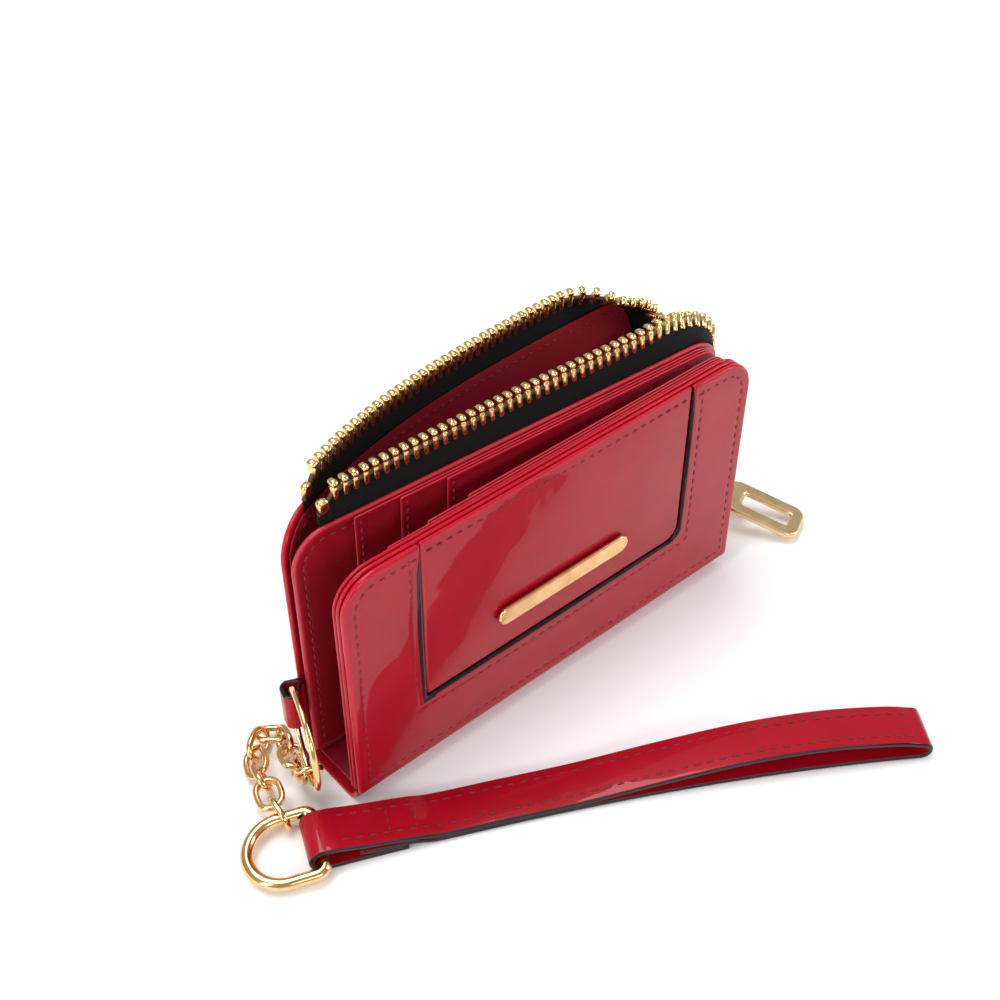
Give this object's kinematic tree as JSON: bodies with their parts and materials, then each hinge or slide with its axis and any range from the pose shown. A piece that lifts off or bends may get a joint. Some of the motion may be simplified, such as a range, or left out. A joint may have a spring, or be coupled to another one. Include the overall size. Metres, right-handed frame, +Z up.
{
  "type": "zip around wallet",
  "caption": "Bifold wallet standing open on its spine, with a flap, card slots, an open zip compartment, a chain on a side ring and a flat wrist strap.",
  "frame": {"origin": "on the flat underside of the spine, midway along it and close to midway across it", "axes": "+X along the spine towards the zip slider, +Y from the flap towards the back cover, +Z up from the spine to the wallet's open edges"},
  "size_m": [0.1806, 0.119, 0.0799],
  "materials": {
    "patent_red": "patent gloss",
    "leather_dark_red": "satin",
    "lining_red": "woven",
    "tape_black": "twill",
    "gold_metal": "polished light gold"
  },
  "bodies": {
    "wallet": {"spine": "patent_red", "spine_lining": "leather_dark_red", "flap_fold": "patent_red", "back_cover": "patent_red", "back_lining": "lining_red", "front_wall": "leather_dark_red", "front_wall_lining": "lining_red", "front_wall_card_slot_1": "leather_dark_red", "front_wall_card_slot_2": "leather_dark_red", "front_wall_card_slot_3": "leather_dark_red", "side_gusset": "lining_red", "zip_tape_back": "tape_black", "zip_tape_front": "tape_black", "zip_teeth_back": "gold_metal", "zip_teeth_front": "gold_metal", "zip_top_stop_back": "gold_metal", "zip_top_stop_front": "gold_metal", "zip_bottom_stop": "gold_metal", "side_tab": "patent_red"},
    "flap": {"flap_cover": "patent_red", "flap_lining": "leather_dark_red", "flap_card_slot_1": "leather_dark_red", "flap_card_slot_2": "leather_dark_red", "flap_card_slot_3": "leather_dark_red", "flap_frame": "patent_red", "flap_pocket": "patent_red", "flap_badge": "gold_metal"},
    "slider": {"zip_slider": "gold_metal", "slider_bail": "gold_metal"},
    "pull": {"zip_pull": "gold_metal"},
    "ring": {"tab_ring": "gold_metal"},
    "link_1": {"chain_link_1": "gold_metal"},
    "link_2": {"chain_link_2": "gold_metal"},
    "link_3": {"chain_link_3": "gold_metal"},
    "link_4": {"chain_link_4": "gold_metal"},
    "link_5": {"chain_link_5": "gold_metal"},
    "link_6": {"chain_link_6": "gold_metal"},
    "link_7": {"chain_link_7": "gold_metal"},
    "link_8": {"chain_link_8": "gold_metal"},
    "link_9": {"chain_link_9": "gold_metal"},
    "link_10": {"chain_link_10": "gold_metal"},
    "d_ring": {"d_ring": "gold_metal"},
    "strap": {"wrist_strap": "patent_red"}
  },
  "joints": [
    {"name": "flap_hinge", "type": "hinge", "parent": "wallet", "child": "flap", "pos_m": [0, -0.0087, 0.0045], "axis": [1, 0, 0], "range_deg": [-1.5, 36], "deforming": ["flap_fold"]},
    {"name": "zip_slide", "type": "slide", "parent": "wallet", "child": "slider", "axis": [-0.035, 0, 0.9994], "range_m": [0, 0.046], "deforming": ["zip_tape_back", "zip_tape_front", "zip_teeth_back", "zip_teeth_front", "side_gusset"]},
    {"name": "pull_swing", "type": "hinge", "parent": "slider", "child": "pull", "pos_m": [0.0743, 0.0047, 0.0082], "axis": [0, 0, 1], "range_deg": [-8, 120]},
    {"name": "ring_swing", "type": "hinge", "parent": "wallet", "child": "ring", "pos_m": [-0.0634, 0.0047, 0.0227], "axis": [0, 0, 1], "range_deg": [-14, 2]},
    {"name": "link_1_swing", "type": "hinge", "parent": "ring", "child": "link_1", "pos_m": [-0.0672, -0.0057, 0.0117], "axis": [0, 0, 1], "range_deg": [-8, 8]},
    {"name": "link_2_swing", "type": "hinge", "parent": "link_1", "child": "link_2", "pos_m": [-0.0672, -0.004, 0.0085], "axis": [0, 0, -1], "range_deg": [-8, 8]},
    {"name": "link_3_swing", "type": "hinge", "parent": "link_2", "child": "link_3", "pos_m": [-0.0657, 0.0027, 0.0054], "axis": [0, 0, 1], "range_deg": [-8, 8]},
    {"name": "link_4_swing", "type": "hinge", "parent": "link_3", "child": "link_4", "pos_m": [-0.0647, 0.0063, 0.005], "axis": [0, 0, -1], "range_deg": [-8, 8]},
    {"name": "link_5_swing", "type": "hinge", "parent": "link_4", "child": "link_5", "pos_m": [-0.0631, 0.0137, 0.0036], "axis": [0, 0, 1], "range_deg": [-8, 8]},
    {"name": "link_6_swing", "type": "hinge", "parent": "link_5", "child": "link_6", "pos_m": [-0.0655, 0.0158, 0.0037], "axis": [0, 0, -1], "range_deg": [-5, 8]},
    {"name": "link_7_swing", "type": "hinge", "parent": "link_6", "child": "link_7", "pos_m": [-0.0718, 0.0116, 0.0035], "axis": [0, 0, 1], "range_deg": [-8, 4]},
    {"name": "link_8_swing", "type": "hinge", "parent": "link_7", "child": "link_8", "pos_m": [-0.0729, 0.0083, 0.0034], "axis": [0, 0, -1], "range_deg": [-4, 8]},
    {"name": "link_9_swing", "type": "hinge", "parent": "link_8", "child": "link_9", "pos_m": [-0.0746, 0.0011, 0.0048], "axis": [0, 0, 1], "range_deg": [-8, 5]},
    {"name": "link_10_swing", "type": "hinge", "parent": "link_9", "child": "link_10", "pos_m": [-0.0759, -0.0022, 0.0046], "axis": [0, 0, -1], "range_deg": [-5, 8]},
    {"name": "d_ring_swing", "type": "hinge", "parent": "link_10", "child": "d_ring", "pos_m": [-0.0764, -0.0097, 0.003], "axis": [0, 0, 1], "range_deg": [-8, 3]},
    {"name": "strap_lift", "type": "hinge", "parent": "d_ring", "child": "strap", "pos_m": [-0.0735, -0.0172, 0.0035], "axis": [0.3928, 0.9183, 0.0499], "range_deg": [-60, 0]}
  ]
}
